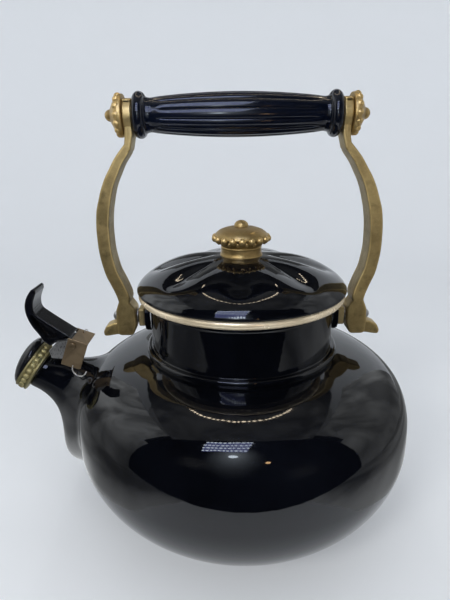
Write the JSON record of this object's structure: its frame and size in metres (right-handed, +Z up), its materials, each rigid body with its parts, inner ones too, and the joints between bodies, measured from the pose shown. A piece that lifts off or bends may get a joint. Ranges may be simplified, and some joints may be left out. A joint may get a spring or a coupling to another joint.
{
  "type": "whistling kettle",
  "caption": "Round enamelled stove-top kettle with a brass bail handle, a domed lid with a beaded knob and a sprung whistle cap on a short wide spout.",
  "frame": {"origin": "centre of the flat base, where the kettle stands", "axes": "+Z up, -X towards the spout, Y across the handle's plane"},
  "size_m": [0.2521, 0.21, 0.2624],
  "materials": {
    "black_enamel": "gloss",
    "aged_brass": "worn satin",
    "rim_gold": "satin",
    "bright_steel": "satin",
    "black_phenolic": "gloss"
  },
  "bodies": {
    "kettle": {"kettle_body": "black_enamel", "neck_collar": "black_enamel", "spout_tube": "black_enamel", "ear_left": "black_enamel", "ear_right": "black_enamel", "lug_left": "aged_brass", "lug_right": "aged_brass", "pivot_rivet_left": "bright_steel", "pivot_rivet_right": "bright_steel", "pivot_washer_left": "bright_steel", "pivot_washer_right": "bright_steel", "hinge_bracket": "aged_brass", "hinge_pin": "aged_brass", "hinge_spring": "bright_steel", "bracket_clip": "bright_steel"},
    "lid": {"lid_shell": "black_enamel", "lid_rim_band": "rim_gold", "lid_inner_skirt": "black_enamel", "lid_knob": "aged_brass", "knob_ferrule": "aged_brass", "lid_knob_screw": "bright_steel", "lid_knob_washer": "bright_steel"},
    "handle": {"handle_arm_left": "aged_brass", "handle_arm_right": "aged_brass", "handle_grip": "black_phenolic", "handle_tie_rod": "bright_steel", "finial_left": "aged_brass", "finial_right": "aged_brass"},
    "whistle_cap": {"cap_arm": "bright_steel", "cap_lever": "black_phenolic", "whistle_cap_dome": "black_phenolic", "whistle_beaded_ring": "aged_brass", "whistle_plate_inner": "bright_steel", "whistle_plate_outer": "bright_steel"}
  },
  "joints": [
    {"name": "handle_fold", "type": "hinge", "parent": "kettle", "child": "handle", "pos_m": [0, 0, 0.1335], "axis": [1, 0, 0], "range_deg": [-95, 95]},
    {"name": "lid_lift", "type": "slide", "parent": "kettle", "child": "lid", "axis": [0, 0, 1], "range_m": [0, 0.04]},
    {"name": "cap_flip", "type": "hinge", "parent": "kettle", "child": "whistle_cap", "pos_m": [-0.1058, 0, 0.1168], "axis": [0, 1, 0], "range_deg": [0, 40], "stiffness_Nm_per_rad": 0.03, "springref_deg": -40.11}
  ]
}
